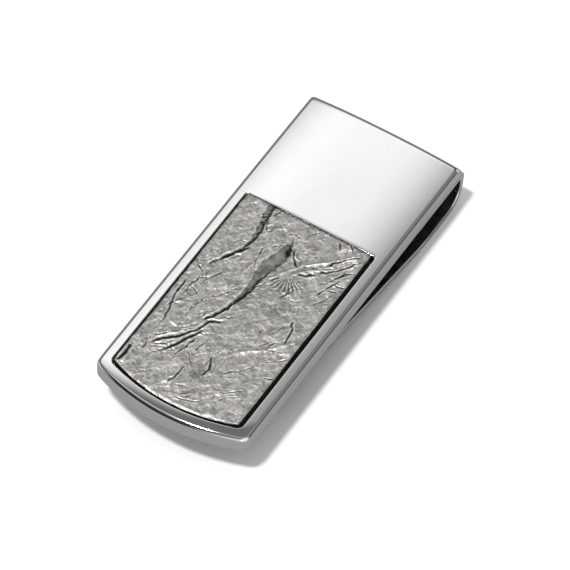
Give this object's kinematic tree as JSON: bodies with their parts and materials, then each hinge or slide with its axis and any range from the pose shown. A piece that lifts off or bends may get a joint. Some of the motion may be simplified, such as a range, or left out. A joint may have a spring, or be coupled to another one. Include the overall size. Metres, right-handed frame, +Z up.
{
  "type": "money clip",
  "caption": "Polished dress money clip: a crowned front frame holds a crumpled-metal panel in a pocket, and a sprung leaf folded under from one end pinches the notes.",
  "frame": {"origin": "Middle of the footprint, on the plane the clip lies on.", "axes": "X is the width. +Y is the length, towards the folded end. +Z is up, out of the front face."},
  "size_m": [0.024, 0.058, 0.0083],
  "materials": {
    "polished_metal": "mirror polished, plated",
    "spring_metal": "polished spring strip",
    "crumpled_metal": "crumpled and dulled, dark in the creases",
    "silver_braze": "dressed flush",
    "adhesive": "cured adhesive film"
  },
  "bodies": {
    "frame_body": {"front_frame": "polished_metal", "inlay_bond": "adhesive", "inlay_panel": "crumpled_metal", "heel_braze": "silver_braze", "spring_heel": "spring_metal"},
    "leaf_body": {"spring_leaf": "spring_metal"}
  },
  "joints": [
    {"name": "leaf_flex", "type": "hinge", "parent": "frame_body", "child": "leaf_body", "pos_m": [0, 0.029, 0.00395], "axis": [1, 0, 0], "range_deg": [0, 8], "stiffness_Nm_per_rad": 1.2, "springref_deg": -8.59}
  ]
}
